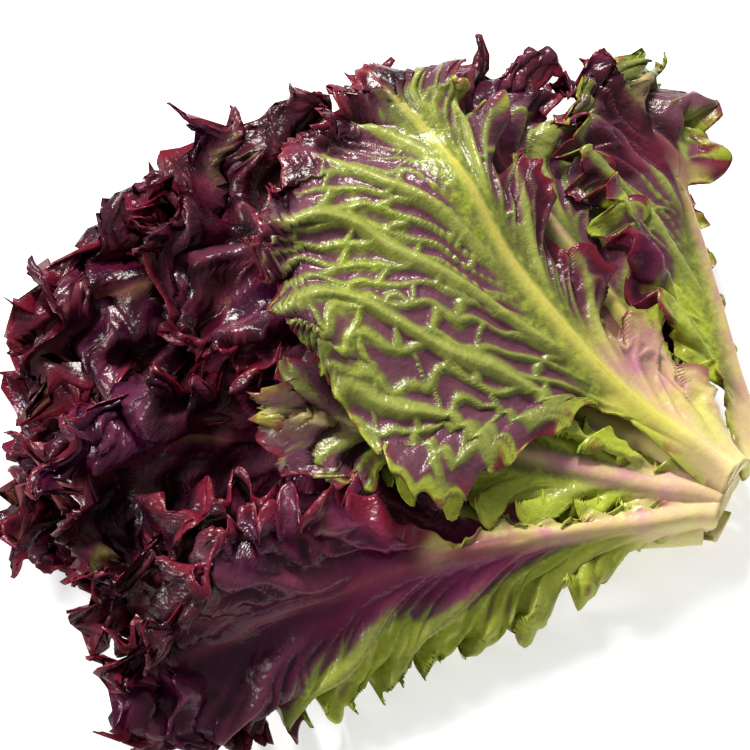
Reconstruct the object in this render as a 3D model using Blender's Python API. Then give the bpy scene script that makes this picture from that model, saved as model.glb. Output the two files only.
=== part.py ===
"""A head of red oak leaf lettuce, cut at the butt and lying on its side.

The leaves are set round a short stem in a spiral, and each is one thin ruffled solid. A point of the head is
given by three numbers: reach, the distance from a point just behind the butt; turn, the angle round the head's
axis (0 the far side, 90 the top, 180 the near side, 270 the underside); and layer, 0 at the heart and 1 at the
outermost leaf. Leaves that overlap lie in different layers, and every fold that they share moves the layers
together, so no leaf crosses another. Metres, +Z up, the butt towards +X.
"""

import math
from collections import namedtuple

import bmesh
import bpy
import numpy as np

# Size of the head: how wide the leaves fan out, where the cut is, and how far the tips reach
FAN_HALF_ANGLE = math.radians(53)
CUT_REACH = 0.025
FULL_REACH = 0.309
FAR_SIDE_LOSS = 0.078
NEAR_SIDE_LOSS = 0.045

# Half-height of the butt, and of the pile of blades above and below its axis from SPREAD_END on
BUTT_RADIUS = 0.0195
PILE_RISE = 0.060
PILE_DROP = 0.030
SPREAD_END = 0.200

# The heart opens towards the tips: its layers move outward by this power
OPENING = 0.36
OPENING_START = 0.13

# Stem
STEM_RADIUS = 0.0125
STEM_LENGTH = 0.052
STEM_TIP_RADIUS = 0.0035
STEM_SIDES = 20
STEM_GAP = 0.0006

# Leaves
BLADE_THICKNESS = 0.0008
STEP_TRIES = 30
STEP_TURN = 0.12
LONGEST_STEP = 2.2
RIB_TIP = 0.0003
RIB_WIDTH = 0.0065
RIB_TAPER = 0.55
BASE_HALF_WIDTH = 0.0120
WAIST_HALF_WIDTH = 0.0085

# Shares of a leaf's length: where the stalk is narrowest, from where the blade narrows again and by how much,
# and how much sooner the margin ends than the rib
WAIST_AT = 0.15
NARROWS_FROM = 0.80
NARROWING = 0.10
TIP_ROUNDING = 0.14

# Folds that all the layers share, from where they start to where they are deepest
FOLD_HEIGHT = 0.0075
FOLD_LENGTH = 0.070
FOLD_START, FOLD_FULL = 0.09, 0.26
FOLD_CLEAR_HEIGHT = 0.040
SWAY = math.radians(2.2)
SWAY_LENGTH = 0.045

# Each leaf's own waves, in layers, and the lobes of its margin
FRILL_START, FRILL_FULL = 0.12, 0.45
OWN_WAVE_OUTER = 0.039
OWN_WAVE_INNER = 0.030
OWN_WAVE_HEIGHT = 0.0031
WAVE_SHARE = 0.55
LOBE_SHARE = 0.11
LOBE_DEPTH = 0.0050

# The flat on the underside that the head rests on
FLOOR_BITE = 0.0024

# turn of the rib at its base and at its tip, in degrees; layer; share of the full reach; half-widths
# towards a greater turn and towards a smaller one; thickness of the rib at its base; shares of the length where
# the blade starts and where it is widest; and how many layers the margin towards a greater turn, and the one
# towards a smaller turn, spread outwards. Metres.
Leaf = namedtuple("Leaf", "base turn layer share above below rib blade_start widest_at flare_above flare_below")
OUTER_LEAVES = {
    "leaf_top": Leaf(89, 75, 1.11, 0.89, 0.104, 0.028, 0.0045, 0.13, 0.52, 0.0, 0.0),
    "leaf_under": Leaf(258, 258, 1.00, 0.98, 0.080, 0.085, 0.0016, 0.05, 0.66, 0.0, 0.10),
    "leaf_far_upper": Leaf(64, 65, 0.96, 0.93, 0.036, 0.034, 0.0015, 0.16, 0.66, 0.0, 0.0),
    "leaf_near": Leaf(142, 168, 0.965, 0.99, 0.058, 0.050, 0.0030, 0.03, 0.52, 0.20, 0.0),
    "leaf_far": Leaf(18, 32, 1.045, 0.87, 0.050, 0.036, 0.0030, 0.24, 0.70, 0.0, 0.0),
    "leaf_near_upper": Leaf(116, 122, 0.85, 0.66, 0.046, 0.044, 0.0014, 0.00, 0.42, 0.05, 0.05),
}

# The leaves inside them follow the spiral of the plant
GOLDEN_ANGLE = 137.5
INNER_COUNT = 13
INNER_FIRST_TURN = 180
INNER_FIRST_LAYER = 0.725
INNER_LAST_LAYER = 0.22
INNER_HALF_WIDTH = (0.053, 0.028)
INNER_SHARE = 0.96
INNER_UPPER_LOSS = 0.12
INNER_RIB = 0.0020
INNER_BLADE_START = 0.05
INNER_WIDEST_AT = 0.66

ROWS_OUTER, COLUMNS_OUTER = 15, 12
ROWS_INNER, COLUMNS_INNER = 11, 10

LEAF_RED = (0.16, 0.02, 0.05, 1.0)
STEM_CREAM = (0.80, 0.82, 0.55, 1.0)


def ease(value, start, end):
    """0 before start, 1 after end, and a smooth step between."""
    t = np.clip((value - start) / (end - start), 0.0, 1.0)
    return t * t * (3.0 - 2.0 * t)


def section(reach):
    """Height of the head's axis, and how far the outermost layer rises above it and drops below it."""
    spread = ease(reach, CUT_REACH, SPREAD_END)
    axis = BUTT_RADIUS + (PILE_DROP - BUTT_RADIUS) * spread
    rise = BUTT_RADIUS + (PILE_RISE - BUTT_RADIUS) * spread
    drop = BUTT_RADIUS + (PILE_DROP - BUTT_RADIUS) * spread
    return axis, rise, drop


def shared_folds(reach, angle, height):
    """The folds that run through all the layers: each moves one coordinate by a rule of the other two."""
    grown = ease(reach, FOLD_START, FOLD_FULL)
    clear_of_floor = ease(height, 0.0, FOLD_CLEAR_HEIGHT)
    across = reach * angle
    turn = 2.0 * math.pi / FOLD_LENGTH
    fold = 0.62 * np.sin(turn * (across + 0.80 * reach))
    fold += 0.38 * np.sin(turn * (0.55 * across - 0.95 * reach) + 1.3)
    height = height + FOLD_HEIGHT * grown * clear_of_floor * fold
    angle = angle + SWAY * grown * np.sin(2.0 * math.pi * height / SWAY_LENGTH + 9.0 * reach)
    return reach, angle, height


def place(reach, turn, layer):
    """World position of a point of the head, before it is set down about the origin."""
    axis, rise, drop = section(reach)
    layer = layer ** (1.0 - OPENING * ease(reach, OPENING_START, FULL_REACH))
    angle = FAN_HALF_ANGLE * layer * np.cos(turn)
    lift = np.where(np.sin(turn) > 0.0, rise, drop) * layer * np.sin(turn)
    reach, angle, height = shared_folds(reach, angle, axis + lift)
    from_cut = (reach - CUT_REACH) * np.cos(angle)
    return np.stack([-CUT_REACH - from_cut, reach * np.sin(angle), height], axis=-1)


def layer_depth(reach, turn):
    """How many metres apart two layers that differ by 1 lie."""
    _, rise, drop = section(reach)
    return np.hypot(reach * FAN_HALF_ANGLE * np.cos(turn), np.where(np.sin(turn) > 0.0, rise, drop) * np.sin(turn))


def turn_at(reach, layer, rib_turn, arc):
    """The turn of a point that lies arc metres round the layer from the leaf's rib."""
    sweep = np.linspace(-math.pi, 3.0 * math.pi, 1441)
    _, rise, drop = section(reach)
    level = np.where(np.sin(sweep) > 0.0, rise, drop)
    pace = layer * np.hypot(reach * FAN_HALF_ANGLE * np.sin(sweep), level * np.cos(sweep))
    run = np.concatenate([[0.0], np.cumsum((pace[1:] + pace[:-1]) / 2.0 * np.diff(sweep))])
    return np.interp(np.interp(rib_turn, sweep, run) + arc, run, sweep)


def full_reach(turn, layer):
    """How far the leaves reach where their rib points, shorter on the far side and a little on the near side."""
    angle = FAN_HALF_ANGLE * layer * math.cos(turn)
    far = ease(angle, -0.10 * FAN_HALF_ANGLE, 0.50 * FAN_HALF_ANGLE)
    near = ease(-angle, 0.25 * FAN_HALF_ANGLE, 1.00 * FAN_HALF_ANGLE)
    return FULL_REACH - FAR_SIDE_LOSS * float(far) - NEAR_SIDE_LOSS * float(near)


def stem_radius(reach):
    """The stem tapers from the cut to its growing tip."""
    t = np.clip((reach - CUT_REACH) / STEM_LENGTH, 0.0, 1.0)
    return STEM_RADIUS + (STEM_TIP_RADIUS - STEM_RADIUS) * t


def first_reach(turn, layer):
    """Where a leaf leaves the stem: the first point of its layer that is clear of the stem's surface."""
    base = np.linspace(-1.0, 1.0, 5) * BASE_HALF_WIDTH
    for reach in np.arange(CUT_REACH + 0.001, CUT_REACH + STEM_LENGTH, 0.0005):
        points = place(reach, turn_at(reach, layer, turn, base), layer)
        off_axis = np.hypot(points[:, 1], points[:, 2] - BUTT_RADIUS)
        if (off_axis > stem_radius(-points[:, 0]) + BLADE_THICKNESS / 2.0 + STEM_GAP).all():
            return reach
    return CUT_REACH + STEM_LENGTH


def half_width(along, widest, blade_start, widest_at):
    """A leaf's half-width along its length: a clasping base, a narrow stalk and a blade that broadens to the tip."""
    stalk = BASE_HALF_WIDTH + (WAIST_HALF_WIDTH - BASE_HALF_WIDTH) * ease(along, 0.0, WAIST_AT)
    blade = ease(along, blade_start, widest_at)
    return stalk + (widest - stalk) * blade - NARROWING * widest * ease(along, NARROWS_FROM, 1.0)


def alternating(first, count):
    """1, -1, 1, -1 and so on, with the first sign reversed when first is odd."""
    return np.where((np.arange(count) + first) % 2 == 0, 1.0, -1.0)


def leaf_points(leaf, widest_wave, rows, columns, seed):
    """Positions of a leaf's middle surface and its rib thickness, as arrays of rows by columns."""
    phase = np.random.default_rng(seed).uniform(0.0, 2.0 * math.pi)
    base_turn, rib_turn = math.radians(leaf.base), math.radians(leaf.turn)
    start = first_reach(base_turn, leaf.layer)
    end = full_reach(rib_turn, leaf.layer) * leaf.share
    # The rows are a little closer together towards the tip, and the columns towards the margins
    along = np.linspace(0.0, 1.0, rows + 1) ** 0.85
    across = np.linspace(-1.0, 1.0, columns + 1)
    across = np.sign(across) * np.abs(across) ** 0.9
    off_rib = np.abs(across)
    points = np.empty((rows + 1, columns + 1, 3))
    rib = np.empty((rows + 1, columns + 1))
    for i, u in enumerate(along):
        frilled = ease(u, FRILL_START, FRILL_FULL)
        to_margin = np.maximum(off_rib ** 2.5, u ** 5)
        tip_lobe = LOBE_DEPTH * frilled * to_margin * u ** 4 * alternating(0, columns + 1)
        widest = np.where(across > 0.0, leaf.above, leaf.below)
        width = half_width(u, widest, leaf.blade_start, leaf.widest_at)
        side_lobe = np.minimum(LOBE_DEPTH, LOBE_SHARE * width) * frilled * off_rib ** 4 * alternating(i + 1, 1)
        reach = start + (end - start) * u * (1.0 - TIP_ROUNDING * off_rib ** 2.6 * u ** 2) + tip_lobe
        arc = across * width + np.sign(across) * side_lobe
        rib_here = base_turn + (rib_turn - base_turn) * ease(reach, start, end)
        turns = np.array([turn_at(r, leaf.layer, t, a) for r, t, a in zip(reach, rib_here, arc)])
        height = np.minimum(OWN_WAVE_HEIGHT, WAVE_SHARE * width / columns)
        own_wave = np.minimum(widest_wave, height / layer_depth(reach, turns))
        own = own_wave * frilled * to_margin * alternating(i, columns + 1)
        own += 0.3 * own_wave * np.sin(7.0 * u + phase) * off_rib
        flare = np.where(across > 0.0, leaf.flare_above, leaf.flare_below) * frilled * off_rib ** 1.5
        points[i] = place(reach, turns, leaf.layer + flare + own)
        ridge = np.exp(-((arc / (RIB_WIDTH * (1.0 - RIB_TAPER * u))) ** 2))
        rib[i] = (RIB_TIP + (leaf.rib - RIB_TIP) * (1.0 - u) ** 1.5) * ridge
    return points, rib


def split(rows, columns):
    """The triangles of a grid of rows by columns, as numbers of its points, with the diagonals alternating."""
    made = []
    for i in range(rows):
        for j in range(columns):
            a = i * (columns + 1) + j
            b, c, d = a + 1, a + columns + 2, a + columns + 1
            made += [(a, b, c), (a, c, d)] if (i + j) % 2 else [(a, b, d), (b, c, d)]
    return made


def outward_steps(points, triangles, turn):
    """For each point a step away from the heart that leaves every face round it, and is longer at a sharp fold."""
    corners = points[np.array(triangles)]
    normals = np.cross(corners[:, 1] - corners[:, 0], corners[:, 2] - corners[:, 0])
    normals /= np.linalg.norm(normals, axis=1, keepdims=True)
    steps = np.empty_like(points)
    for k in range(len(points)):
        around = normals[[k in triangle for triangle in triangles]]
        step = around.mean(axis=0)
        for _ in range(STEP_TRIES):
            step /= np.linalg.norm(step)
            step = step + STEP_TURN * around[np.argmin(around @ step)]
        step /= np.linalg.norm(step)
        steps[k] = step / max((around @ step).min(), 1.0 / LONGEST_STEP)
    outward = np.array([0.0, math.cos(math.radians(turn)), math.sin(math.radians(turn))])
    return steps if steps.sum(axis=0) @ outward > 0.0 else -steps


def leaf_solid(name, points, rib, turn, material):
    """A closed solid: the inner and the outer face split into triangles alike, and the rim between them."""
    rows, columns = points.shape[0] - 1, points.shape[1] - 1
    triangles = split(rows, columns)
    middle = points.reshape(-1, 3)
    steps = outward_steps(middle, triangles, turn)
    inner = middle - steps * BLADE_THICKNESS / 2.0
    outer = middle + steps * (BLADE_THICKNESS / 2.0 + rib.reshape(-1, 1))
    if name == "leaf_under":
        floor = outer[:, 2].min() + FLOOR_BITE
        outer[:, 2] = np.maximum(outer[:, 2], floor)
        inner[:, 2] = np.maximum(inner[:, 2], floor + BLADE_THICKNESS)
    work = bmesh.new()
    low, high = [[work.verts.new(p) for p in sheet] for sheet in (inner, outer)]
    for a, b, c in triangles:
        work.faces.new((low[a], low[b], low[c]))
        work.faces.new((high[c], high[b], high[a]))
    rim = [j for j in range(columns)]
    rim += [i * (columns + 1) + columns for i in range(rows)]
    rim += [rows * (columns + 1) + columns - j for j in range(columns)]
    rim += [(rows - i) * (columns + 1) for i in range(rows)]
    for a, b in zip(rim, rim[1:] + rim[:1]):
        work.faces.new((low[a], high[a], low[b]))
        work.faces.new((low[b], high[a], high[b]))
    bmesh.ops.recalc_face_normals(work, faces=work.faces)
    return finished(name, work, material)


def finished(name, work, material):
    """The bmesh as a named object with its material."""
    mesh = bpy.data.meshes.new(name)
    work.to_mesh(mesh)
    work.free()
    mesh.materials.append(material)
    made = bpy.data.objects.new(name, mesh)
    bpy.context.scene.collection.objects.link(made)
    return made


def stem_solid(material):
    """The stem: rings of a tapering stalk from the flat cut to the blunt growing tip."""
    work = bmesh.new()
    stations = np.linspace(0.0, 1.0, 7)
    rings = []
    for t in stations:
        reach = CUT_REACH + STEM_LENGTH * t
        radius = float(stem_radius(reach)) * (1.0 - 0.25 * (t == 1.0))
        ring = []
        for k in range(STEM_SIDES):
            turn = 2.0 * math.pi * k / STEM_SIDES
            ring.append(work.verts.new((-reach, radius * math.cos(turn), BUTT_RADIUS + radius * math.sin(turn))))
        rings.append(ring)
    for low, high in zip(rings, rings[1:]):
        for k in range(STEM_SIDES):
            n = (k + 1) % STEM_SIDES
            work.faces.new((low[k], low[n], high[n], high[k]))
    work.faces.new(rings[0][::-1])
    work.faces.new(rings[-1])
    bmesh.ops.recalc_face_normals(work, faces=work.faces)
    return finished("stem", work, material)


def new_material(name, colour, roughness):
    made = bpy.data.materials.new(name)
    made.use_nodes = True
    shader = made.node_tree.nodes["Principled BSDF"]
    shader.inputs["Base Color"].default_value = colour
    shader.inputs["Roughness"].default_value = roughness
    shader.inputs["Metallic"].default_value = 0.0
    return made


def inner_leaves():
    """The leaves of the spiral inside the named ones. The upper ones end earlier, so that their tips step down."""
    leaves = {}
    for k in range(INNER_COUNT):
        t = k / (INNER_COUNT - 1)
        layer = INNER_FIRST_LAYER + (INNER_LAST_LAYER - INNER_FIRST_LAYER) * t
        width = INNER_HALF_WIDTH[0] + (INNER_HALF_WIDTH[1] - INNER_HALF_WIDTH[0]) * t
        turn = (INNER_FIRST_TURN + GOLDEN_ANGLE * k) % 360
        upper = max(0.0, math.sin(math.radians(turn))) * layer / INNER_FIRST_LAYER
        share = INNER_SHARE - INNER_UPPER_LOSS * upper
        leaves[f"leaf_inner_{k + 1:02d}"] = Leaf(
            turn, turn, layer, share, width, width, INNER_RIB, INNER_BLADE_START, INNER_WIDEST_AT, 0.0, 0.0
        )
    return leaves


def set_down(objects):
    """Moves the head so that the origin is under the middle of its box, on the surface that it rests on."""
    corners = np.array([v.co for made in objects for v in made.data.vertices])
    low, high = corners.min(axis=0), corners.max(axis=0)
    shift = np.array([(low[0] + high[0]) / 2.0, (low[1] + high[1]) / 2.0, low[2]])
    for made in objects:
        for vertex in made.data.vertices:
            vertex.co = [float(a) for a in np.array(vertex.co) - shift]


def main():
    for old in list(bpy.data.objects):
        bpy.data.objects.remove(old)
    red = new_material("leaf_red", LEAF_RED, 0.38)
    cream = new_material("stem_cream", STEM_CREAM, 0.45)
    made = [stem_solid(cream)]
    leaves = {**OUTER_LEAVES, **inner_leaves()}
    for seed, (name, leaf) in enumerate(leaves.items()):
        if name in OUTER_LEAVES:
            points, rib = leaf_points(leaf, OWN_WAVE_OUTER, ROWS_OUTER, COLUMNS_OUTER, seed)
        else:
            points, rib = leaf_points(leaf, OWN_WAVE_INNER, ROWS_INNER, COLUMNS_INNER, seed)
        made.append(leaf_solid(name, points, rib, leaf.turn, red))
    set_down(made)


main()
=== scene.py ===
"""A head of red oak leaf lettuce on a pale table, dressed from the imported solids.

Each leaf starts as a grid whose own x and y say where on the leaf a point lies. The head is described as in
the solids: reach from a point behind the butt, turn round the axis, and layer from the heart outwards.
"""

import math
from collections import namedtuple
from types import SimpleNamespace

import bpy
import numpy as np
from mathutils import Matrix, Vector


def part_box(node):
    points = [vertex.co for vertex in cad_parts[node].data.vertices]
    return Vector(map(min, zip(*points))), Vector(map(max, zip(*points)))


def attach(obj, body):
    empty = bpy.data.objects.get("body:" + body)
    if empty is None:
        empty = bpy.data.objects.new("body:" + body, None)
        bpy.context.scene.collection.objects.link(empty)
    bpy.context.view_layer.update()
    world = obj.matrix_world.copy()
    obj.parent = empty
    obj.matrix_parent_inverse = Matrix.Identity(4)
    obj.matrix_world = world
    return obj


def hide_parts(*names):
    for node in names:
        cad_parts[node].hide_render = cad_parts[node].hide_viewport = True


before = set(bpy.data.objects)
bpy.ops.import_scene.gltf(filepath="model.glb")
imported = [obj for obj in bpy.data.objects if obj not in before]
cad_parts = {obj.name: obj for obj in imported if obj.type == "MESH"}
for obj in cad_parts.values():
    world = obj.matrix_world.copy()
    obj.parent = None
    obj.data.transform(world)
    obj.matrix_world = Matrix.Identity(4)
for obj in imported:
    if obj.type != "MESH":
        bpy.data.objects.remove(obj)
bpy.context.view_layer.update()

# The head, as the solids have it
FAN_HALF_ANGLE = math.radians(53)
CUT_REACH = 0.025
FULL_REACH = 0.309
FAR_SIDE_LOSS = 0.078
FAR_LOSS_FROM, FAR_LOSS_FULL = -0.10, 0.50
NEAR_SIDE_LOSS = 0.045
NEAR_LOSS_FROM, NEAR_LOSS_FULL = 0.25, 1.00
BUTT_RADIUS = 0.0195
PILE_RISE = 0.060
PILE_DROP = 0.030
SPREAD_END = 0.200
OPENING = 0.36
OPENING_START = 0.13
STEM_RADIUS = 0.0125
STEM_LENGTH = 0.052
STEM_TIP_RADIUS = 0.0035
THINNEST_LAYER = 0.02
FOLD_HEIGHT = 0.0075
FOLD_LENGTH = 0.070
FOLD_START, FOLD_FULL = 0.09, 0.26
FOLD_CLEAR_HEIGHT = 0.040
SWAY = math.radians(2.2)
SWAY_LENGTH = 0.045
NARROWS_FROM = 0.80
NARROWING = 0.10
TIP_ROUNDING = 0.14
STALK_NARROW_AT = 0.17

# The finer ruffle that runs over those folds: where it starts and is full, its height, how far it turns a
# point sideways and moves it lengthwise, and the lengths of its waves
RUFFLE_START, RUFFLE_FULL = 0.17, 0.27
RUFFLE_HEIGHT = 0.0034
RUFFLE_TURN = 0.0120
RUFFLE_SHIFT = 0.0035
RUFFLE_LENGTH = 0.034
RUFFLE_CROSS_LENGTH = 0.029

# Where the unshifted head comes to lie in the frame
STEM_LOW, STEM_HIGH = (np.array(corner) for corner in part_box("stem"))
SHIFT = np.array([
    STEM_HIGH[0] + CUT_REACH,
    (STEM_LOW[1] + STEM_HIGH[1]) / 2.0,
    (STEM_LOW[2] + STEM_HIGH[2]) / 2.0 - BUTT_RADIUS,
])

FULL_CIRCLE = 2.0 * math.pi

# Height below which a leaf flattens out over the table, and the scale of the leaves' own UV map
SOFT_LANDING = 0.003
UV_PER_METRE = 10.0

# Camera at the photograph's angle, how much it sees across at the head, and where in the frame the cut is
AZIMUTH, ELEVATION = math.radians(30), math.radians(55)
CAMERA_DISTANCE = 1.25
SEEN_ACROSS = 0.2876
CUT_SEEN_AT = (721 / 750, 500 / 750)

# The pale table and the soft light: place, size and watts of each window
FLOOR_SIZE, FLOOR_DROP = 8.0, 0.0004
FLOOR_GREY, FLOOR_GLOW = 0.60, 0.62
AIR_BRIGHTNESS = 0.34
WINDOWS = (
    ("window_back", (-0.6, 1.0, 1.3), 0.35, 46.0),
    ("window_left", (-1.1, -0.6, 1.1), 0.35, 20.0),
)


def ease(value, start, end):
    """0 before start, 1 after end, and a smooth step between."""
    t = np.clip((value - start) / (end - start), 0.0, 1.0)
    return t * t * (3.0 - 2.0 * t)


def mix(a, b, share):
    """a where share is 0, b where it is 1."""
    return a + (b - a) * share


class Wander:
    """Smooth seeded noise along one or two coordinates, from -1 to 1.

    Where a use adds a number to a coordinate, it takes another part of the noise, so that no two uses agree.
    """

    def __init__(self, seed, size=64):
        self.size = size
        self.table = np.random.default_rng(seed).uniform(-1.0, 1.0, (size, size))

    def __call__(self, x, y=0.0):
        x, y = np.broadcast_arrays(np.asarray(x, float), np.asarray(y, float))
        i, j = np.floor(x).astype(int), np.floor(y).astype(int)
        s, t = x - i, y - j
        s, t = s * s * (3.0 - 2.0 * s), t * t * (3.0 - 2.0 * t)
        n = self.size
        low = mix(self.table[i % n, j % n], self.table[(i + 1) % n, j % n], s)
        high = mix(self.table[i % n, (j + 1) % n], self.table[(i + 1) % n, (j + 1) % n], s)
        return mix(low, high, t)


def section(reach):
    """Height of the head's axis, and how far the outermost layer rises above it and drops below it."""
    spread = ease(reach, CUT_REACH, SPREAD_END)
    return (
        mix(BUTT_RADIUS, PILE_DROP, spread),
        mix(BUTT_RADIUS, PILE_RISE, spread),
        mix(BUTT_RADIUS, PILE_DROP, spread),
    )


def shared_folds(reach, angle, height):
    """The folds that run through all the layers: the broad ones of the solids, then the finer ruffle."""
    grown = ease(reach, FOLD_START, FOLD_FULL)
    clear_of_floor = ease(height, 0.0, FOLD_CLEAR_HEIGHT)
    across = reach * angle
    pace = FULL_CIRCLE / FOLD_LENGTH
    fold = 0.62 * np.sin(pace * (across + 0.80 * reach))
    fold += 0.38 * np.sin(pace * (0.55 * across - 0.95 * reach) + 1.3)
    height = height + FOLD_HEIGHT * grown * clear_of_floor * fold
    angle = angle + SWAY * grown * np.sin(FULL_CIRCLE * height / SWAY_LENGTH + 9.0 * reach)
    ruffled = ease(reach, RUFFLE_START, RUFFLE_FULL)
    across = reach * angle
    fine = np.sin(FULL_CIRCLE * (across / RUFFLE_LENGTH + 0.35 * np.sin(reach / 0.011)))
    fine += 0.6 * np.sin(FULL_CIRCLE * (0.7 * across - reach) / RUFFLE_CROSS_LENGTH + 2.0)
    height = height + RUFFLE_HEIGHT * ruffled * clear_of_floor * fine
    angle = angle + RUFFLE_TURN * ruffled * np.sin(FULL_CIRCLE * (height / 0.021 + reach / 0.060))
    reach = reach + RUFFLE_SHIFT * ruffled * np.sin(FULL_CIRCLE * (height / 0.024 + reach * angle / 0.045))
    return reach, angle, height


def place(reach, turn, layer):
    """Position in the frame of a point of the head."""
    axis, rise, drop = section(reach)
    layer = np.maximum(layer, THINNEST_LAYER) ** (1.0 - OPENING * ease(reach, OPENING_START, FULL_REACH))
    angle = FAN_HALF_ANGLE * layer * np.cos(turn)
    lift = np.where(np.sin(turn) > 0.0, rise, drop) * layer * np.sin(turn)
    reach, angle, height = shared_folds(reach, angle, axis + lift)
    from_cut = (reach - CUT_REACH) * np.cos(angle)
    return np.stack([-CUT_REACH - from_cut, reach * np.sin(angle), height], axis=-1) + SHIFT


def layer_depth(reach, turn):
    """How many metres apart two layers that differ by 1 lie."""
    _, rise, drop = section(reach)
    level = np.where(np.sin(turn) > 0.0, rise, drop)
    return np.hypot(reach * FAN_HALF_ANGLE * np.cos(turn), level * np.sin(turn))


class Turns:
    """Finds the turn of a point that lies arc metres round a layer from a leaf's rib."""

    REACHES, ARCS = 48, 241
    SWEEP = np.linspace(-math.pi, 3.0 * math.pi, 1441)
    ROOM = 1.5

    def __init__(self, layer, base_turn, rib_turn, start, end, widest):
        self.reaches = np.linspace(start * 0.9, end * 1.1, self.REACHES)
        self.arcs = np.linspace(-widest * self.ROOM, widest * self.ROOM, self.ARCS)
        self.table = np.empty((self.REACHES, self.ARCS))
        for k, reach in enumerate(self.reaches):
            _, rise, drop = section(reach)
            level = np.where(np.sin(self.SWEEP) > 0.0, rise, drop)
            pace = layer * np.hypot(reach * FAN_HALF_ANGLE * np.sin(self.SWEEP), level * np.cos(self.SWEEP))
            run = np.concatenate([[0.0], np.cumsum((pace[1:] + pace[:-1]) / 2.0 * np.diff(self.SWEEP))])
            rib_here = mix(base_turn, rib_turn, ease(reach, start, end))
            self.table[k] = np.interp(np.interp(rib_here, self.SWEEP, run) + self.arcs, run, self.SWEEP)

    def __call__(self, reach, arc):
        a = np.clip((reach - self.reaches[0]) / (self.reaches[1] - self.reaches[0]), 0, self.REACHES - 1.001)
        b = np.clip((arc - self.arcs[0]) / (self.arcs[1] - self.arcs[0]), 0, self.ARCS - 1.001)
        i, j = a.astype(int), b.astype(int)
        s, t = a - i, b - j
        low = mix(self.table[i, j], self.table[i + 1, j], s)
        high = mix(self.table[i, j + 1], self.table[i + 1, j + 1], s)
        return mix(low, high, t)


def full_reach(turn, layer):
    """How far leaves reach where their rib points: shorter on the far side and a little on the near side."""
    angle = FAN_HALF_ANGLE * layer * math.cos(turn)
    far = ease(angle, FAR_LOSS_FROM * FAN_HALF_ANGLE, FAR_LOSS_FULL * FAN_HALF_ANGLE)
    near = ease(-angle, NEAR_LOSS_FROM * FAN_HALF_ANGLE, NEAR_LOSS_FULL * FAN_HALF_ANGLE)
    return FULL_REACH - FAR_SIDE_LOSS * float(far) - NEAR_SIDE_LOSS * float(near)


def half_width(along, base, waist, widest, blade_start, widest_at):
    """A leaf's half-width along its length: a clasping base, a narrow stalk and a broadening blade."""
    stalk = mix(base, waist, ease(along, 0.0, STALK_NARROW_AT))
    blade = ease(along, blade_start, widest_at)
    return stalk + (widest - stalk) * blade - NARROWING * widest * ease(along, NARROWS_FROM, 1.0)


# Turn of the rib at its base and at its tip, in degrees; layer; share of the full reach; half-widths towards
# a greater turn and towards a smaller one; thickness of the rib at its base; shares of the length where the
# blade starts and where it is widest; how many layers each margin spreads outwards; how much later the blade
# starts towards a smaller turn; and the columns and rows of the grid. Most are the solids' values, and some
# are set to what the photograph shows.
Leaf = namedtuple("Leaf", "base turn layer share above below rib blade_start widest_at "
                          "flare_above flare_below later columns rows")
OUTER_LEAVES = {
    "leaf_top": Leaf(89, 75, 1.11, 0.89, 0.112, 0.028, 0.0050, 0.21, 0.62, 0.0, 0.0, 0.0, 176, 230),
    "leaf_under": Leaf(258, 258, 1.00, 1.02, 0.080, 0.085, 0.0020, 0.05, 0.66, 0.0, 0.10, 0.0, 50, 120),
    "leaf_far_upper": Leaf(64, 65, 0.96, 0.93, 0.036, 0.034, 0.0042, 0.16, 0.66, 0.0, 0.0, 0.0, 70, 200),
    "leaf_near": Leaf(142, 168, 0.965, 0.99, 0.046, 0.048, 0.0042, 0.03, 0.46, 0.18, 0.0, 0.40, 88, 210),
    "leaf_far": Leaf(18, 32, 1.045, 0.87, 0.052, 0.028, 0.0060, 0.02, 0.60, 0.0, 0.0, 0.60, 70, 200),
    "leaf_near_upper": Leaf(118, 122, 0.86, 0.66, 0.027, 0.027, 0.0030, 0.00, 0.50, 0.02, 0.02, 0.0, 76, 160),
}

# The leaves inside them follow the spiral of the plant, from the outermost to the innermost
GOLDEN_ANGLE = 137.5
INNER_COUNT = 13
INNER_FIRST_TURN = 180
INNER_LAYERS = (0.725, 0.22)
INNER_HALF_WIDTHS = (0.053, 0.028)
INNER_SHARE = 0.96
INNER_UPPER_LOSS = 0.07
INNER_RIB, INNER_BLADE_START, INNER_WIDEST_AT = 0.0022, 0.05, 0.66
FINE_GRID, COARSE_GRID = (64, 190), (48, 120)
FINE_GRIDS = 9

# How much longer some of them are, as a share of the head's reach
LONGER = {"leaf_inner_04": 0.03, "leaf_inner_09": 0.01, "leaf_inner_11": 0.072, "leaf_inner_12": 0.068}


def inner_leaves():
    """The leaves of the spiral. The upper ones end earlier, so that their tips step down."""
    spiral = {}
    for k in range(INNER_COUNT):
        name = f"leaf_inner_{k + 1:02d}"
        t = k / (INNER_COUNT - 1)
        layer = mix(*INNER_LAYERS, t)
        width = mix(*INNER_HALF_WIDTHS, t)
        turn = (INNER_FIRST_TURN + GOLDEN_ANGLE * k) % 360
        upper = max(0.0, math.sin(math.radians(turn)))
        share = INNER_SHARE - INNER_UPPER_LOSS * upper * layer / INNER_LAYERS[0] + LONGER.get(name, 0.0)
        columns, rows = FINE_GRID if k < FINE_GRIDS else COARSE_GRID
        spiral[name] = Leaf(turn, turn, layer, share, width, width, INNER_RIB, INNER_BLADE_START,
                            INNER_WIDEST_AT, 0.0, 0.0, 0.0, columns, rows)
    return spiral


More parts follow.
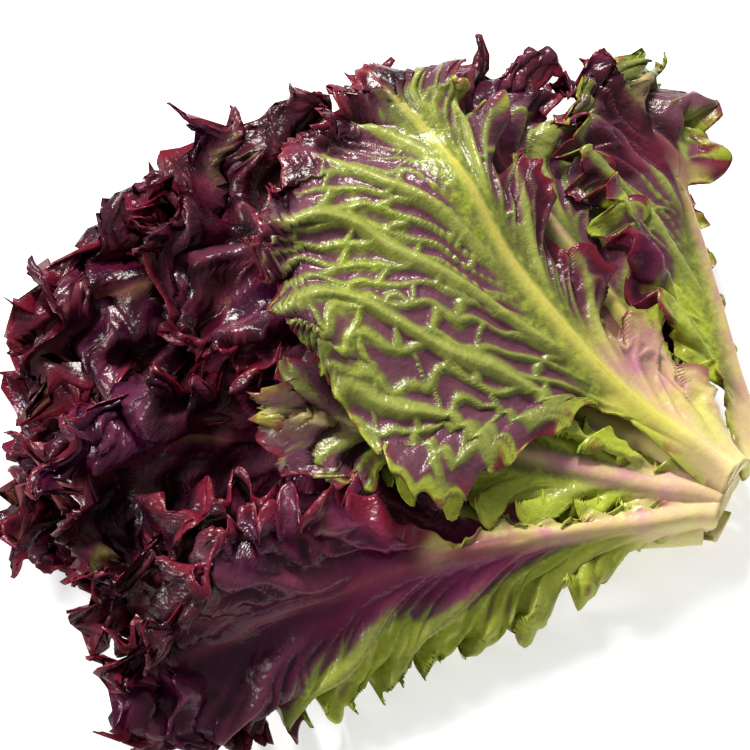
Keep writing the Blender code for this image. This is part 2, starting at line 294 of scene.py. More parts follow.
# Greenness of the stalk, the middle and the tip; what the margins towards a greater and a smaller turn add to
# it, and both margins near the base; where the colour of the tip starts; how patchy it is; pink of the stalk;
# height and length of the ruffle and depth of its lobes; how much of the half-width it takes; strength of the
# veins' relief; how far the margin rolls outwards; and the share of the length where the frills start
Look = namedtuple("Look", "stalk middle tip above below fresh tip_from patches pink "
                          "ruffle frill lobe frilled net roll frills_from")
LOOKS = {
    "leaf_top": Look(0.70, 0.65, 0.05, 0.06, -0.42, 0.0, 0.84, 0.15, 0.15,
                     0.0050, 0.036, 0.009, 0.30, 1.0, 0.1, 0.12),
    "leaf_under": Look(0.80, 0.25, 0.05, 0.30, 0.35, 0.6, 0.50, 0.35, 0.30,
                       0.0060, 0.034, 0.009, 0.50, 0.45, 0.5, 0.10),
    "leaf_far_upper": Look(0.50, 0.45, 0.15, 0.0, 0.0, 0.5, 0.50, 0.65, 0.90,
                           0.0085, 0.022, 0.010, 0.70, 0.60, 0.6, 0.12),
    "leaf_near": Look(0.85, 0.04, 0.00, 1.80, -0.05, 0.4, 0.50, 0.30, 0.90,
                      0.0120, 0.020, 0.017, 0.60, 1.40, 0.4, 0.0),
    "leaf_far": Look(0.55, 0.54, 0.38, -0.10, -0.06, 0.2, 0.60, 0.62, 0.75,
                     0.0100, 0.020, 0.009, 0.70, 1.0, 0.5, 0.0),
    "leaf_near_upper": Look(0.30, 0.60, 0.40, 0.80, 0.80, 0.8, 0.70, 0.15, 0.95,
                            0.0150, 0.017, 0.015, 0.90, 0.80, 0.6, 0.0),
}
INNER_LOOK = Look(0.45, 0.04, 0.02, 0.02, 0.02, 0.5, 0.50, 0.26, 0.45,
                  0.0092, 0.025, 0.015, 0.90, 0.85, 1.1, 0.08)

# Half-widths of a leaf's clasping base and of the stalk above it, and the same for the broad pale wing that
# leaf_top has towards a smaller turn
CLASP, STALK = 0.0115, 0.0070
WING_CLASP, WING_STALK = 0.026, 0.029
LATER_WIDEST = 0.6

# Lines along which the frills and the side veins leave the rib: their slant, and how far they bend
SLANT, SLANT_BEND, SLANT_BEND_WITHIN = 0.80, 0.036, 0.022
TIP_FROM = 0.66

# Frills: how much closer they stand at the base; where leaf_top's wing has them; over what share of the
# length they grow; least frilled and least smooth width; half-width of a leaf with full frills; how uneven
# they are, and how much stronger on leaf_top's wing and tip; the smaller waves on them; how far they curl in
# and lean
GATHERING, GATHERING_LOSS = 1.35, 0.35
WING_FRILLS_FROM = -0.05
FRILLS_GROW_OVER = 0.22
LEAST_FRILLED, LEAST_SMOOTH = 0.016, 0.005
FULL_FRILL_WIDTH = 0.022
UNEVEN_FRILLS = 0.45
WING_RUFFLE, TOP_TIP_RUFFLE, TOP_TIP_FROM = 1.3, 1.0, 0.82
SMALL_WAVES, SMALL_WAVE_PACE = 0.30, 2.7
CURL = 0.6
LEAN = 0.11

# Lobes with pointed teeth: how pointed they are, from where on they reach out, and the size of the teeth
LOBE_POINT, TOP_LOBE_POINT, LOBE_MIDDLE = 0.9, 0.6, 0.70
TOOTH_LENGTH = 0.0062
TOOTH_HEIGHT, UNEVEN_TEETH = 0.0042, 0.7
TOOTH_POINT, TOOTH_MIDDLE = 1.8, 0.3

# Half-widths of the rib at its base and tip, spacing and half-width of the veins, and relief of the blade
RIB_AT_BASE, RIB_AT_TIP = 0.0062, 0.0019
MAIN_VEIN_LENGTH, VEIN_LENGTH, CROSS_VEIN_LENGTH = 0.042, 0.0098, 0.021
MAIN_VEIN_SLANT, MAIN_VEIN_BEND, MAIN_VEIN_LEAN = 2.3, 7.0, 0.42
MAIN_VEIN_AT_RIB, MAIN_VEIN_FAR_OUT = 0.0023, 0.0012
SMALL_VEIN, VEIN_FLANK = 0.0011, 0.0020
SIDE_VEIN_SHOWN, CROSS_VEIN_SHOWN = 0.50, 0.42
VEIN_RELIEF, BLISTER_DEPTH, BUMP_HEIGHT = 0.0020, 0.0016, 0.0008
CRUMPLE, NEAR_CRUMPLE = 0.0030, 0.0048

# Thickness of the blade and of the fleshy base, and how much of the rib and the base is lost along and across
BLADE_THICKNESS = 0.0006
BASE_FLESH = 0.0030
RIB_LOSS, BASE_FLESH_UNTIL, BASE_FLESH_LOSS = 0.85, 0.25, 0.7

# Layer from which a leaf counts as an outer one, how far from the cut such leaves and the inner ones start,
# how far their base sinks into the stem, how closely the outer ones are gathered at the butt and up to which
# share of their length, and how much of the others' rounding leaf_top's tip has
OUTER_FROM = 0.8
OUTER_FROM_CUT, INNER_FROM_CUT = -0.003, 0.001
BASE_SINK = 0.001
GATHERED_AT_BUTT, GATHERED_UNTIL = 0.74, 0.12
TOP_ROUNDING = 0.45

# The most that a leaf's own waves rise out of its layer and sink into it, in layers, towards a greater and a
# smaller turn. They keep leaves that lie on each other from poking through.
RISES = {"leaf_top": (0.07, 0.10), "leaf_far_upper": (0.06, 0.20), "leaf_near_upper": (0.09, 0.17)}
NEAR_UPPER_TIP_RISE = 0.04
RISE, TIP_RISE = 0.20, 0.34
SINKS = {"leaf_top": (0.12, 0.12), "leaf_near": (0.14, 0.04), "leaf_far": (0.06, 0.06)}
SINK = (0.16, 0.16)
LEAST_DEPTH = 0.012

# How closely the grid's columns crowd at the margins and its rows at the tip, as powers; and the width of the
# coloured rim
COLUMN_CROWDING, ROW_CROWDING = 0.75, 0.88
RIM_WIDTH = 0.0050


def leaf_start(layer):
    """Where a leaf leaves the stem: farther from the cut the nearer the heart it lies."""
    thin = (STEM_RADIUS + BASE_SINK - BUTT_RADIUS * layer) / (STEM_RADIUS - STEM_TIP_RADIUS)
    from_cut = OUTER_FROM_CUT if layer > OUTER_FROM else INNER_FROM_CUT
    return CUT_REACH + from_cut + STEM_LENGTH * min(max(thin, 0.0), 1.0)


def ridge(distance, width):
    """1 on a line, falling off smoothly to about a third at width from it."""
    return np.exp(-((distance / width) ** 2))


def from_line(position, spacing):
    """Metres to the nearest of the lines that run where position is a whole number."""
    return (1.0 - np.abs(position % 1.0 - 0.5) * 2.0) * spacing / 2.0


def lay_out(name, leaf, u, v):
    """Where the grid places lie on the flat leaf.

    Along it, u runs from 0 at the base to 1 at the tip. Across it, v runs from -1 over 0 at the rib to 1, and
    side is its sign, 1 towards a greater turn. y and d are metres from the base and from the rib.
    """
    start = leaf_start(leaf.layer)
    end = full_reach(math.radians(leaf.turn), leaf.layer) * leaf.share
    side = np.where(v > 0.0, 1.0, -1.0)
    clasp, stalk = (WING_CLASP, WING_STALK) if name == "leaf_top" else (CLASP, STALK)
    late = leaf.later * (side < 0)
    width = half_width(u, np.where(side > 0, CLASP, clasp), np.where(side > 0, STALK, stalk),
                       np.where(side > 0, leaf.above, leaf.below), leaf.blade_start + late,
                       leaf.widest_at + LATER_WIDEST * late)
    d = np.abs(v) * width
    slant = SLANT * d + SLANT_BEND * (1.0 - np.exp(-d / SLANT_BEND_WITHIN))
    return SimpleNamespace(u=u, side=side, off_rib=np.abs(v), start=start, end=end, width=width,
                           y=u * (end - start), d=d, slant=slant, to_tip=ease(u, TIP_FROM, 1.0))


def frills(name, look, seed, wander, at):
    """Waves along the margin that lean over into loops, smaller ones on them, its roll and its lobes."""
    on_top = name == "leaf_top"
    gathered_y = at.y * (GATHERING - GATHERING_LOSS * at.u)
    along = gathered_y - 0.8 * at.slant * (1.0 - at.to_tip) - at.to_tip * at.d
    along = along / look.frill + 0.3 * (at.side < 0) + seed * 0.61
    along = along + 0.35 * wander(at.y / 0.028 + 17 * at.side, at.d / 0.030 + 5)

    frills_from = np.where(at.side > 0, look.frills_from, WING_FRILLS_FROM) if on_top else look.frills_from
    grown = ease(at.u, frills_from, frills_from + FRILLS_GROW_OVER)
    smooth = np.maximum(np.minimum((1.0 - look.frilled) * at.width, at.width - LEAST_FRILLED), LEAST_SMOOTH)
    to_side = ease(at.d, smooth, np.maximum(at.width, smooth + 0.001)) * grown
    margin = 1.0 - (1.0 - to_side) * (1.0 - ease(at.u, 1.0 - 0.45 * look.frilled, 1.0))

    phase = FULL_CIRCLE * along
    room = np.minimum(1.0, at.width / FULL_FRILL_WIDTH)
    strength = look.ruffle * room * mix(0.55, 1.1, at.u)
    strength = strength * (1.0 + UNEVEN_FRILLS * wander(along * 0.7, 3.0 + at.side))
    if on_top:
        on_tip = ease(at.u, TOP_TIP_FROM, 1.0)
        strength = strength * (1.0 + WING_RUFFLE * (at.side < 0) + TOP_TIP_RUFFLE * on_tip)
    lift = strength * margin ** 1.2 * np.sin(phase)
    small = np.sin(SMALL_WAVE_PACE * phase + 2.5 * wander(along * 1.7, 9.0))
    lift = lift + SMALL_WAVES * strength * margin ** 2.5 * small
    lift = lift + look.roll * strength * margin ** 2.5
    curl = CURL * look.roll * strength * margin ** 3
    lean = -LEAN * look.frill * room * mix(0.6, 1.1, at.u) * margin ** 1.5 * np.sin(2.0 * phase)

    lobe = np.abs(np.sin(phase + 0.3)) ** (TOP_LOBE_POINT if on_top else LOBE_POINT) - LOBE_MIDDLE
    along_teeth = (gathered_y - 0.4 * at.slant - 1.1 * at.to_tip * at.d) / TOOTH_LENGTH
    along_teeth = along_teeth + 0.8 * wander(along * 2, 21.0)
    tooth = np.abs((along_teeth % 1.0) * 2.0 - 1.0) ** TOOTH_POINT
    tooth_height = TOOTH_HEIGHT * (1.0 + UNEVEN_TEETH * wander(along_teeth * 0.45, 27.0))
    outward = (look.lobe * lobe + tooth_height * (tooth - TOOTH_MIDDLE)) * grown * room - curl
    return SimpleNamespace(margin=margin, lift=lift, lean=lean, outward=outward)


def vein_net(seed, wander, at, margin):
    """Main veins that run nearly along the rib, side veins between them that bend outwards, and short ones
    that join those. They stay off the stalk, and the panels between them are blistered."""
    off_stalk = ease(at.d, 0.003, 0.009) * ease(at.u, 0.05, 0.20)
    main = (at.y - MAIN_VEIN_SLANT * at.d + MAIN_VEIN_BEND * at.d ** 2) / MAIN_VEIN_LENGTH
    main = main + 0.5 * (at.side > 0) + seed * 0.31
    main = main + 0.16 * wander(at.y / 0.034 + 11 * at.side, at.d / 0.026)
    to_main = from_line(main, MAIN_VEIN_LENGTH) * MAIN_VEIN_LEAN
    main_width = mix(MAIN_VEIN_AT_RIB, MAIN_VEIN_FAR_OUT, ease(at.d, 0.0, 0.08))
    main_vein = ridge(to_main, main_width) * off_stalk * (1.0 - 0.4 * margin)

    blade = ease(at.d, 0.004, 0.016) * ease(at.u, 0.06, 0.22)
    strip = (at.y - at.slant) / VEIN_LENGTH + 0.5 * np.floor(main)
    strip = strip + 0.55 * wander(at.y / 0.018 + 3, at.d / 0.014)
    to_side_vein = from_line(strip, VEIN_LENGTH)
    side_vein = ridge(to_side_vein, SMALL_VEIN) * blade

    cross = at.d / CROSS_VEIN_LENGTH + 7.0 * wander(np.floor(strip) * 1.37 + 0.5, 31.0 + at.side)
    cross = cross + 0.5 * (strip % 1.0)
    cross = cross + 0.30 * wander(at.y / 0.010, at.d / 0.010)
    to_cross_vein = from_line(cross, CROSS_VEIN_LENGTH)
    cross_vein = ridge(to_cross_vein, SMALL_VEIN) * blade

    shown = np.maximum(np.maximum(main_vein, SIDE_VEIN_SHOWN * side_vein), CROSS_VEIN_SHOWN * cross_vein)
    to_vein = np.minimum(np.minimum(to_side_vein, to_cross_vein), to_main)
    return SimpleNamespace(main=main_vein, shown=shown, blade=blade,
                           panel=(1.0 - ridge(to_vein, VEIN_FLANK)) * blade)


def lift_limits(name, at):
    """The least and the most that a leaf's own waves may lift it, in layers."""
    if name == "leaf_near_upper":
        highest = mix(np.where(at.side > 0, *RISES[name]), NEAR_UPPER_TIP_RISE, ease(at.u, 0.50, 0.75))
    elif name in RISES:
        highest = np.where(at.side > 0, *RISES[name])
    else:
        highest = mix(RISE, TIP_RISE, ease(at.u, 0.75, 1.0))
    return -np.where(at.side > 0, *SINKS.get(name, SINK)), highest


def leaf_tints(name, look, wander, at, y, d, rib, net):
    """What a leaf's finish reads: how green, veined, ribbed, blistered, pink and near the edge a place is."""
    green = mix(look.stalk, look.middle, ease(at.u, 0.10, 0.35))
    tip_full = look.tip_from + 0.30 * (1.05 - look.tip_from) + 0.1
    green = mix(green, look.tip, ease(at.u, look.tip_from, tip_full))
    on_margin = ease(at.off_rib, 0.15, 0.7)
    green = green + np.where(at.side > 0, look.above, look.below) * on_margin * (1.0 - ease(at.u, 0.62, 0.85))
    green = green + look.fresh * on_margin * (1.0 - ease(at.u, 0.30, 0.52))
    green = green + look.patches * wander(y / 0.022 + 50, at.side * d / 0.022)
    narrow = (1.0 - ease(at.width, 0.009, 0.016)) * (1.0 - 0.5 * at.off_rib ** 6)
    wing = (at.side < 0) * (1.0 - ease(at.u, 0.26, 0.44)) if name == "leaf_top" else 0.0 * at.u
    to_edge = np.minimum(at.width - at.d, (1.0 - at.u) * (at.end - at.start))
    return {
        "green": np.clip(green, 0.0, 1.0),
        "vein": np.clip(net.shown, 0.0, 1.0),
        "rib": np.clip(np.maximum(rib * (1.0 - 0.35 * at.u), np.maximum(narrow, 0.85 * wing)), 0.0, 1.0),
        "panel": np.clip(net.panel, 0.0, 1.0),
        "edge": np.clip(1.0 - ease(to_edge, 0.0, RIM_WIDTH), 0.0, 1.0),
        "along": at.u,
        "pink": np.maximum(look.pink, wing * (1.0 - rib)),
    }


def leaf_shape(name, leaf, look, seed, u, v):
    """Positions of a leaf's inner face, its flesh, what its finish reads, and its places on the flat leaf."""
    wander = Wander(seed * 7 + 3)
    at = lay_out(name, leaf, u, v)
    waves = frills(name, look, seed, wander, at)
    net = vein_net(seed, wander, at, waves.margin)
    rib = ridge(at.d, mix(RIB_AT_BASE, RIB_AT_TIP, u ** 0.6))

    lift = waves.lift + look.net * (VEIN_RELIEF * net.main - BLISTER_DEPTH * net.panel)
    bumpy = wander(at.y / 0.009, at.d / 0.009 + 40 + 9 * at.side)
    lift = lift + BUMP_HEIGHT * bumpy * net.blade * (0.3 + 0.7 * waves.margin)
    if name == "leaf_near":
        crumpled = wander(at.y / 0.024 - at.d / 0.014, at.d / 0.009 + 60 + 9 * at.side) * ease(u, 0.16, 0.35)
        lift = lift + NEAR_CRUMPLE * crumpled * (1.0 - rib)
    elif name != "leaf_top":
        lift = lift + CRUMPLE * wander(at.y / 0.013, at.d / 0.013 + 60 + 9 * at.side) * ease(u, 0.40, 0.75)

    flesh = leaf.rib * (1.0 - RIB_LOSS * ease(u, 0.0, 1.0)) * rib
    across_base = 1.0 - BASE_FLESH_LOSS * at.off_rib ** 2
    flesh = flesh + BASE_FLESH * (1.0 - ease(u, 0.0, BASE_FLESH_UNTIL)) * across_base

    d = np.maximum(at.d + waves.outward * at.off_rib ** 4 * (1.0 - 0.6 * at.to_tip), 0.0)
    d = d + waves.lean * at.to_tip * ease(at.d, 0.0, 0.01)
    y = at.y + waves.lean * (1.0 - at.to_tip) * ease(d, 0.002, 0.010)
    y = y + waves.outward * at.to_tip ** 2 * u ** 4
    rounding = TIP_ROUNDING * (TOP_ROUNDING if name == "leaf_top" else 1.0)
    reach = at.start + y * (1.0 - rounding * at.off_rib ** 2.6 * u ** 2)
    finder = Turns(leaf.layer, math.radians(leaf.base), math.radians(leaf.turn), at.start, at.end,
                   max(leaf.above, leaf.below))
    turn = finder(reach, at.side * d)
    own = np.clip(lift / np.maximum(layer_depth(reach, turn), LEAST_DEPTH), *lift_limits(name, at))
    flare = np.where(at.side > 0, leaf.flare_above, leaf.flare_below) * ease(u, 0.12, 0.45)
    flare = flare * at.off_rib ** 1.5
    gathered = mix(GATHERED_AT_BUTT, 1.0, ease(u, 0.0, GATHERED_UNTIL)) if leaf.layer > OUTER_FROM else 1.0
    points = place(reach, turn, leaf.layer * gathered + flare + own)
    tints = leaf_tints(name, look, wander, at, y, d, rib, net)
    return points, flesh, tints, np.stack([at.side * d, y], axis=-1)


def above_table(height):
    """Keeps a height over the table: below SOFT_LANDING it flattens out towards zero and never gets there."""
    return np.where(height < SOFT_LANDING, SOFT_LANDING * np.exp(height / SOFT_LANDING - 1.0), height)


# Share of the greatest flesh below which a place has none
LEAST_FLESH = 0.002


def leaf_piece(name, leaf, look, seed, finishes):
    """One leaf: a grid shaped into the blade, given its thickness, and riding on the body."""
    bpy.ops.object.select_all(action="DESELECT")
    bpy.ops.mesh.primitive_grid_add(x_subdivisions=leaf.columns, y_subdivisions=leaf.rows, size=2.0,
                                    calc_uvs=True)
    piece = bpy.context.object
    piece.name = piece.data.name = name + "_blade"
    mesh = piece.data
    flat = np.empty(len(mesh.vertices) * 3)
    mesh.vertices.foreach_get("co", flat)
    flat = flat.reshape(-1, 3)
    v = np.sign(flat[:, 0]) * np.abs(flat[:, 0]) ** COLUMN_CROWDING
    u = (flat[:, 1] / 2.0 + 0.5) ** ROW_CROWDING
    points, flesh, tints, spread = leaf_shape(name, leaf, look, seed, u, v)
    points[:, 2] = above_table(points[:, 2])
    mesh.vertices.foreach_set("co", points.astype(np.float32).ravel())
    for key, values in tints.items():
        mesh.attributes.new(key, "FLOAT", "POINT").data.foreach_set("value", values.astype(np.float32))
    corner = np.empty(len(mesh.loops), int)
    mesh.loops.foreach_get("vertex_index", corner)
    mesh.uv_layers[0].data.foreach_set("uv", (spread[corner] * UV_PER_METRE).astype(np.float32).ravel())
    mesh.update()

    # Faces look away from the heart, so that the flesh and the back of the leaf are outside
    rib_turn = math.radians(leaf.turn)
    outward = np.array([0.0, math.cos(rib_turn), math.sin(rib_turn)])
    facing = np.zeros(len(mesh.polygons) * 3)
    mesh.polygons.foreach_get("normal", facing)
    if facing.reshape(-1, 3).mean(axis=0) @ outward < 0.0:
        mesh.flip_normals()
    thickest = float(flesh.max()) + BLADE_THICKNESS
    group = piece.vertex_groups.new(name="flesh")
    for k, w in enumerate(flesh / thickest):
        if w > LEAST_FLESH:
            group.add([k], float(w), "REPLACE")
    wall = piece.modifiers.new("wall", "SOLIDIFY")
    wall.thickness = thickest
    wall.offset = 1.0
    wall.vertex_group = "flesh"
    wall.thickness_vertex_group = BLADE_THICKNESS / thickest
    wall.material_offset = 1
    wall.material_offset_rim = 1
    for finish in finishes:
        mesh.materials.append(finish)
    bpy.ops.object.modifier_apply(modifier="wall")
    height = np.empty(len(piece.data.vertices) * 3)
    piece.data.vertices.foreach_get("co", height)
    height[2::3] = above_table(height[2::3])
    piece.data.vertices.foreach_set("co", height)
    piece.data.update()
    bpy.ops.object.shade_smooth()
    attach(piece, "root")
    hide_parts(name)
    return piece


# The cut end of the stem: its radius over the stem's, how much the stem tapers, how squarely the faces of the
# cut look out, and the rings inset into it, each with its width and how far it moves outwards
CUT_SWELL, STEM_TAPER, CUT_SLOPE = 1.1, 0.72, 0.9
CUT_RINGS = ((0.0016, 0.0008), (0.0050, -0.0010), (0.0030, -0.0012))


def stem_piece(finish):
    """The cut stem: a stout tapering stalk with a rounded, slightly hollowed cut."""
    length = STEM_LENGTH
    middle = (SHIFT[0] - CUT_REACH - length / 2.0, SHIFT[1], SHIFT[2] + BUTT_RADIUS)
    bpy.ops.object.select_all(action="DESELECT")
    bpy.ops.mesh.primitive_cylinder_add(vertices=64, radius=CUT_SWELL * STEM_RADIUS, depth=length,
                                        location=middle, rotation=(0.0, math.pi / 2.0, 0.0),
                                        end_fill_type="NGON")
    piece = bpy.context.object
    piece.name = piece.data.name = "cut_stem"
    bpy.ops.object.transform_apply(location=True, rotation=True, scale=True)
    bpy.ops.object.mode_set(mode="EDIT")
    bpy.ops.mesh.select_all(action="DESELECT")
    bpy.ops.object.mode_set(mode="OBJECT")
    for face in piece.data.polygons:
        face.select = face.normal.x > CUT_SLOPE
    bpy.ops.object.mode_set(mode="EDIT")
    for width, outwards in CUT_RINGS:
        bpy.ops.mesh.inset(thickness=width)
        bpy.ops.transform.translate(value=(outwards, 0.0, 0.0))
    bpy.ops.object.mode_set(mode="OBJECT")
    mesh = piece.data
    for vertex in mesh.vertices:
        t = min(max((SHIFT[0] - CUT_REACH - vertex.co.x) / length, 0.0), 1.0)
        scale = 1.0 - STEM_TAPER * t
        vertex.co.y = middle[1] + (vertex.co.y - middle[1]) * scale
        vertex.co.z = middle[2] + (vertex.co.z - middle[2]) * scale
    mesh.materials.append(finish)
    bpy.ops.object.shade_smooth_by_angle(angle=math.radians(50))
    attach(piece, "root")
    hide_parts("stem")
    return piece


class Value:
    """A socket that Python's arithmetic works on: each operation adds its Math node."""

    def __init__(self, finish, socket):
        self.finish, self.socket = finish, socket

    def _with(self, operation, *others, clamp=False):
        node = self.finish.nodes.new("ShaderNodeMath")
        node.operation, node.use_clamp = operation, clamp
        for slot, item in zip(node.inputs, (self, *others)):
            self.finish.feed(slot, item)
        return Value(self.finish, node.outputs[0])

    def __add__(self, other):
        return self._with("ADD", other)

    def __sub__(self, other):
        return self._with("SUBTRACT", other)

    def __rsub__(self, other):
        return (self * -1.0) + other

    def __mul__(self, other):
        return self._with("MULTIPLY", other)

    __radd__ = __add__
    __rmul__ = __mul__

    def clamped(self):
        return self._with("ADD", 0.0, clamp=True)

    def between(self, low, high):
        """0 up to low, 1 from high on, with a smooth step between."""
        return self.finish.node("ShaderNodeMapRange", {"interpolation_type": "SMOOTHSTEP", "clamp": True},
                                Value=self, **{"From Min": low, "From Max": high})


class Finish:
    """A material whose nodes are added by expressions."""

    def __init__(self, name):
        self.material = bpy.data.materials.new(name)
        self.material.use_nodes = True
        self.nodes = self.material.node_tree.nodes
        self.links = self.material.node_tree.links
        self.shader = self.nodes["Principled BSDF"]

    def feed(self, socket, item):
        if isinstance(item, Value):
            self.links.new(item.socket, socket)
        else:
            socket.default_value = item

    def node(self, kind, settings=None, output=0, **sockets):
        made = self.nodes.new(kind)
        for key, setting in (settings or {}).items():
            setattr(made, key, setting)
        for key, item in sockets.items():
            self.feed(made.inputs[key], item)
        return Value(self, made.outputs[output])

    def attribute(self, name):
        return self.node("ShaderNodeAttribute", {"attribute_name": name}, output="Fac")

    def blend(self, share, a, b):
        """Colour a where share is 0 and b where it is 1."""
        made = self.nodes.new("ShaderNodeMix")
        made.data_type = "RGBA"
        self.feed(made.inputs[0], share)
        self.feed(made.inputs[6], a)
        self.feed(made.inputs[7], b)
        return Value(self, made.outputs[2])

    def noise(self, vector, scale, detail=2.0, roughness=0.5):
        return self.node("ShaderNodeTexNoise", output="Fac", Vector=vector, Scale=scale, Detail=detail,
                         Roughness=roughness)

    def place_on_leaf(self):
        return self.node("ShaderNodeUVMap")

    def place(self):
        return self.node("ShaderNodeTexCoord", output="Object")

    def give(self, **sockets):
        for key, item in sockets.items():
            self.feed(self.shader.inputs[key.replace("_", " ")], item)


def rgb(red, green, blue):
    return (red, green, blue, 1.0)


# Colours of a leaf's front and back: the dark and the bright of its red, its olive and lime, the magenta of
# its lower part, and the tint of its gloss
Palette = namedtuple("Palette", "dark bright olive lime magenta gloss")
FRONT_COLOURS = Palette(rgb(0.007, 0.0004, 0.0035), rgb(0.070, 0.0030, 0.010), rgb(0.070, 0.066, 0.005),
                        rgb(0.360, 0.480, 0.014), rgb(0.085, 0.006, 0.028), rgb(1.0, 0.72, 0.85))
BACK_COLOURS = Palette(rgb(0.009, 0.0006, 0.005), rgb(0.078, 0.0035, 0.014), rgb(0.112, 0.122, 0.028),
                       rgb(0.370, 0.430, 0.040), rgb(0.220, 0.018, 0.090), rgb(1.0, 0.95, 0.85))
PURPLE, MAUVE = rgb(0.050, 0.004, 0.032), rgb(0.112, 0.038, 0.055)
VEIN_RED, VEIN_GREEN = rgb(0.300, 0.075, 0.130), rgb(0.290, 0.310, 0.065)
STALK_PEACH, STALK_PINK = rgb(0.60, 0.40, 0.24), rgb(0.56, 0.22, 0.30)
STALK_YELLOW, STALK_RED = rgb(0.56, 0.53, 0.080), rgb(0.19, 0.035, 0.060)
BUTT_PALE, BUTT_TAN = rgb(0.68, 0.70, 0.20), rgb(0.74, 0.52, 0.28)
RIM_LIME, RIM_BROWN, RIM_RED = rgb(0.32, 0.36, 0.03), rgb(0.20, 0.060, 0.020), rgb(0.165, 0.008, 0.020)
SCAR_BROWN = rgb(0.42, 0.15, 0.02)
CUT_PALE, CUT_BROWN = rgb(0.70, 0.70, 0.26), rgb(0.66, 0.44, 0.20)

# Sizes of the noise that breaks up colour and gloss, as its scale to the metre
PATCH_NOISE, BROAD_NOISE, WRINKLE_NOISE, FINE_NOISE = 21.0, 38.0, 120.0, 260.0
CUT_NOISE, CUT_GRAIN = 120.0, 900.0
SCAR_WIDTH_SQUARED = 0.00006


def leaf_finish(name, front):
    """The finish of a leaf's back, or of its darker front."""
    finish = Finish(name)
    tone = FRONT_COLOURS if front else BACK_COLOURS
    green, vein, rib = finish.attribute("green"), finish.attribute("vein"), finish.attribute("rib")
    panel, edge = finish.attribute("panel"), finish.attribute("edge")
    along, pink = finish.attribute("along"), finish.attribute("pink")
    place_in_head = finish.place()
    broad = finish.noise(place_in_head, BROAD_NOISE, 3.0, 0.6)
    fine = finish.noise(place_in_head, FINE_NOISE, 4.0, 0.6)
    wrinkled = finish.noise(place_in_head, WRINKLE_NOISE, 3.0, 0.55)

    # Where the blade is green rather than red. Veins are greener than panels, most of all on the back.
    on_vein = vein * (0.12 if front else 0.05 + green * 0.60)
    leafy = (green + (broad - 0.5) * 0.8 + on_vein + rib * 0.3 - panel * 0.46).clamped()
    greenish = leafy.between(0.28, 0.62)

    # Red blade, purple in patches and magenta lower down; on the back, painted shade darkens the sunken
    # panels between the veins, and mauve flushes
    red = finish.blend((broad * 0.6 + wrinkled * 0.4).between(0.38, 0.66), tone.dark, tone.bright)
    red = finish.blend(finish.noise(place_in_head, PATCH_NOISE).between(0.52, 0.66) * 0.6, red, PURPLE)
    red = finish.blend(pink * along.between(0.85, 0.25), red, tone.magenta)
    if not front:
        # Painted shade: the sunken, blistered panels between the veins are darkened towards the dark red
        red = finish.blend(panel * 0.55, red, tone.dark)
        red = finish.blend(green.between(0.22, 0.48), red, MAUVE)
    leaf_green = finish.blend((green * 0.7 + fine * 0.5).between(0.66, 0.98), tone.olive, tone.lime)
    colour = finish.blend(greenish, red, leaf_green)

    # Veins, the stalk, the pale butt and the rim
    vein_colour = finish.blend(leafy.between(0.15, 0.55), VEIN_RED, VEIN_GREEN)
    vein_shown = 0.25 if front else 0.35 + greenish * 0.55
    colour = finish.blend((vein * vein_shown).clamped(), colour, vein_colour)
    pinkish = finish.blend(wrinkled.between(0.35, 0.65), STALK_PEACH, STALK_PINK)
    stalk = finish.blend((pink * broad.between(0.15, 0.65)).clamped(), STALK_YELLOW, pinkish)
    redder = along.between(0.18, 0.45) * (1.0 - green.between(0.15, 0.45))
    stalk = finish.blend(redder, stalk, STALK_RED)
    colour = finish.blend((rib * 1.15 - along * 0.25).clamped(), colour, stalk)
    butt = finish.blend(broad.between(0.3, 0.7), BUTT_PALE, BUTT_TAN)
    colour = finish.blend(1.0 - along.between(0.02, 0.17), colour, butt)
    green_rim = finish.blend(wrinkled.between(0.50, 0.62), RIM_LIME, RIM_BROWN)
    rim = finish.blend(greenish, RIM_RED, green_rim)
    colour = finish.blend(edge * 0.75, colour, rim)
    if not front:
        # A thin browned line down the middle of the rib
        across = finish.node("ShaderNodeSeparateXYZ", output="X", Vector=finish.place_on_leaf())
        line = 1.0 - (across * across).between(0.0, SCAR_WIDTH_SQUARED)
        scarred = line * rib * fine.between(0.35, 0.65) * 0.5 * along.between(0.1, 0.25) * (1.0 - pink)
        colour = finish.blend(scarred, colour, SCAR_BROWN)

    finish.give(Base_Color=colour, Roughness=0.14 + fine * 0.24, Coat_Weight=0.10 * broad.between(0.35, 0.75))
    finish.give(Coat_Roughness=0.10, Specular_IOR_Level=0.20 if front else 0.24, Specular_Tint=tone.gloss)
    height = fine * 0.35 + wrinkled * (1.0 - rib) * 1.6 + vein * 0.8
    finish.give(Normal=finish.node("ShaderNodeBump", Strength=0.6, Distance=0.0016, Height=height))
    return finish.material


def stem_finish():
    """Pale flesh, browned where it was cut."""
    finish = Finish("cut_stem_flesh")
    place_in_head = finish.place()
    broad = finish.noise(place_in_head, CUT_NOISE, 4.0, 0.6)
    fine = finish.noise(place_in_head, CUT_GRAIN, 3.0, 0.6)
    colour = finish.blend(broad.between(0.35, 0.70), CUT_PALE, CUT_BROWN)
    finish.give(Base_Color=colour, Roughness=0.35 + fine * 0.2)
    height = broad + fine * 0.4
    finish.give(Normal=finish.node("ShaderNodeBump", Strength=0.5, Distance=0.0008, Height=height))
    return finish.material


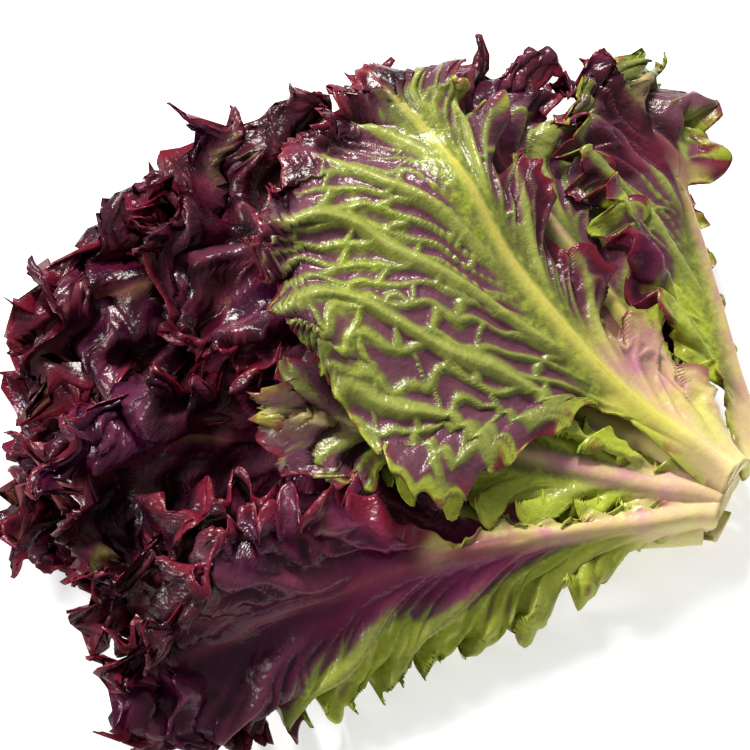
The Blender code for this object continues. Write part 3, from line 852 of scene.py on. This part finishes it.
def studio():
    """Camera, pale floor and soft lights."""
    back = np.array([
        math.sin(AZIMUTH) * math.cos(ELEVATION),
        -math.cos(AZIMUTH) * math.cos(ELEVATION),
        math.sin(ELEVATION),
    ])
    camera = bpy.data.objects.new("camera", bpy.data.cameras.new("camera"))
    bpy.context.scene.collection.objects.link(camera)
    right = np.array([math.cos(AZIMUTH), math.sin(AZIMUTH), 0.0])
    up = np.cross(back, right)
    cut = np.array([SHIFT[0] - CUT_REACH, SHIFT[1], SHIFT[2] + BUTT_RADIUS])
    aim = cut - SEEN_ACROSS * ((CUT_SEEN_AT[0] - 0.5) * right + (0.5 - CUT_SEEN_AT[1]) * up)
    camera.location = aim + back * CAMERA_DISTANCE
    camera.rotation_euler = Vector(-back).to_track_quat("-Z", "Y").to_euler()
    camera.data.lens = camera.data.sensor_width * CAMERA_DISTANCE / SEEN_ACROSS
    camera.data.clip_start, camera.data.clip_end = 0.05, 20.0
    bpy.context.scene.camera = camera

    bpy.ops.object.select_all(action="DESELECT")
    bpy.ops.mesh.primitive_plane_add(size=FLOOR_SIZE, location=(0.0, 0.0, -FLOOR_DROP))
    floor = bpy.context.object
    floor.name = "table"
    top = Finish("pale_table")
    top.give(Base_Color=rgb(FLOOR_GREY, FLOOR_GREY, FLOOR_GREY), Roughness=0.6)
    top.give(Emission_Color=rgb(1.0, 1.0, 1.0), Emission_Strength=FLOOR_GLOW)
    floor.data.materials.append(top.material)

    world = bpy.data.worlds.new("studio_air")
    world.use_nodes = True
    air = world.node_tree.nodes["Background"]
    air.inputs["Color"].default_value = rgb(1.0, 1.0, 1.0)
    air.inputs["Strength"].default_value = AIR_BRIGHTNESS
    bpy.context.scene.world = world
    for name, location, size, watts in WINDOWS:
        lamp = bpy.data.objects.new(name, bpy.data.lights.new(name, "AREA"))
        lamp.data.size, lamp.data.energy = size, watts
        lamp.location = location
        lamp.rotation_euler = Vector([-c for c in location]).to_track_quat("-Z", "Y").to_euler()
        bpy.context.scene.collection.objects.link(lamp)
    bpy.context.scene.view_settings.view_transform = "Standard"


studio()
leaf_back = leaf_finish("leaf_back", front=False)
leaf_front = leaf_finish("leaf_front", front=True)
stem_piece(stem_finish())
for number, (name, leaf) in enumerate({**OUTER_LEAVES, **inner_leaves()}.items()):
    leaf_piece(name, leaf, LOOKS.get(name, INNER_LOOK), number, (leaf_back, leaf_front))
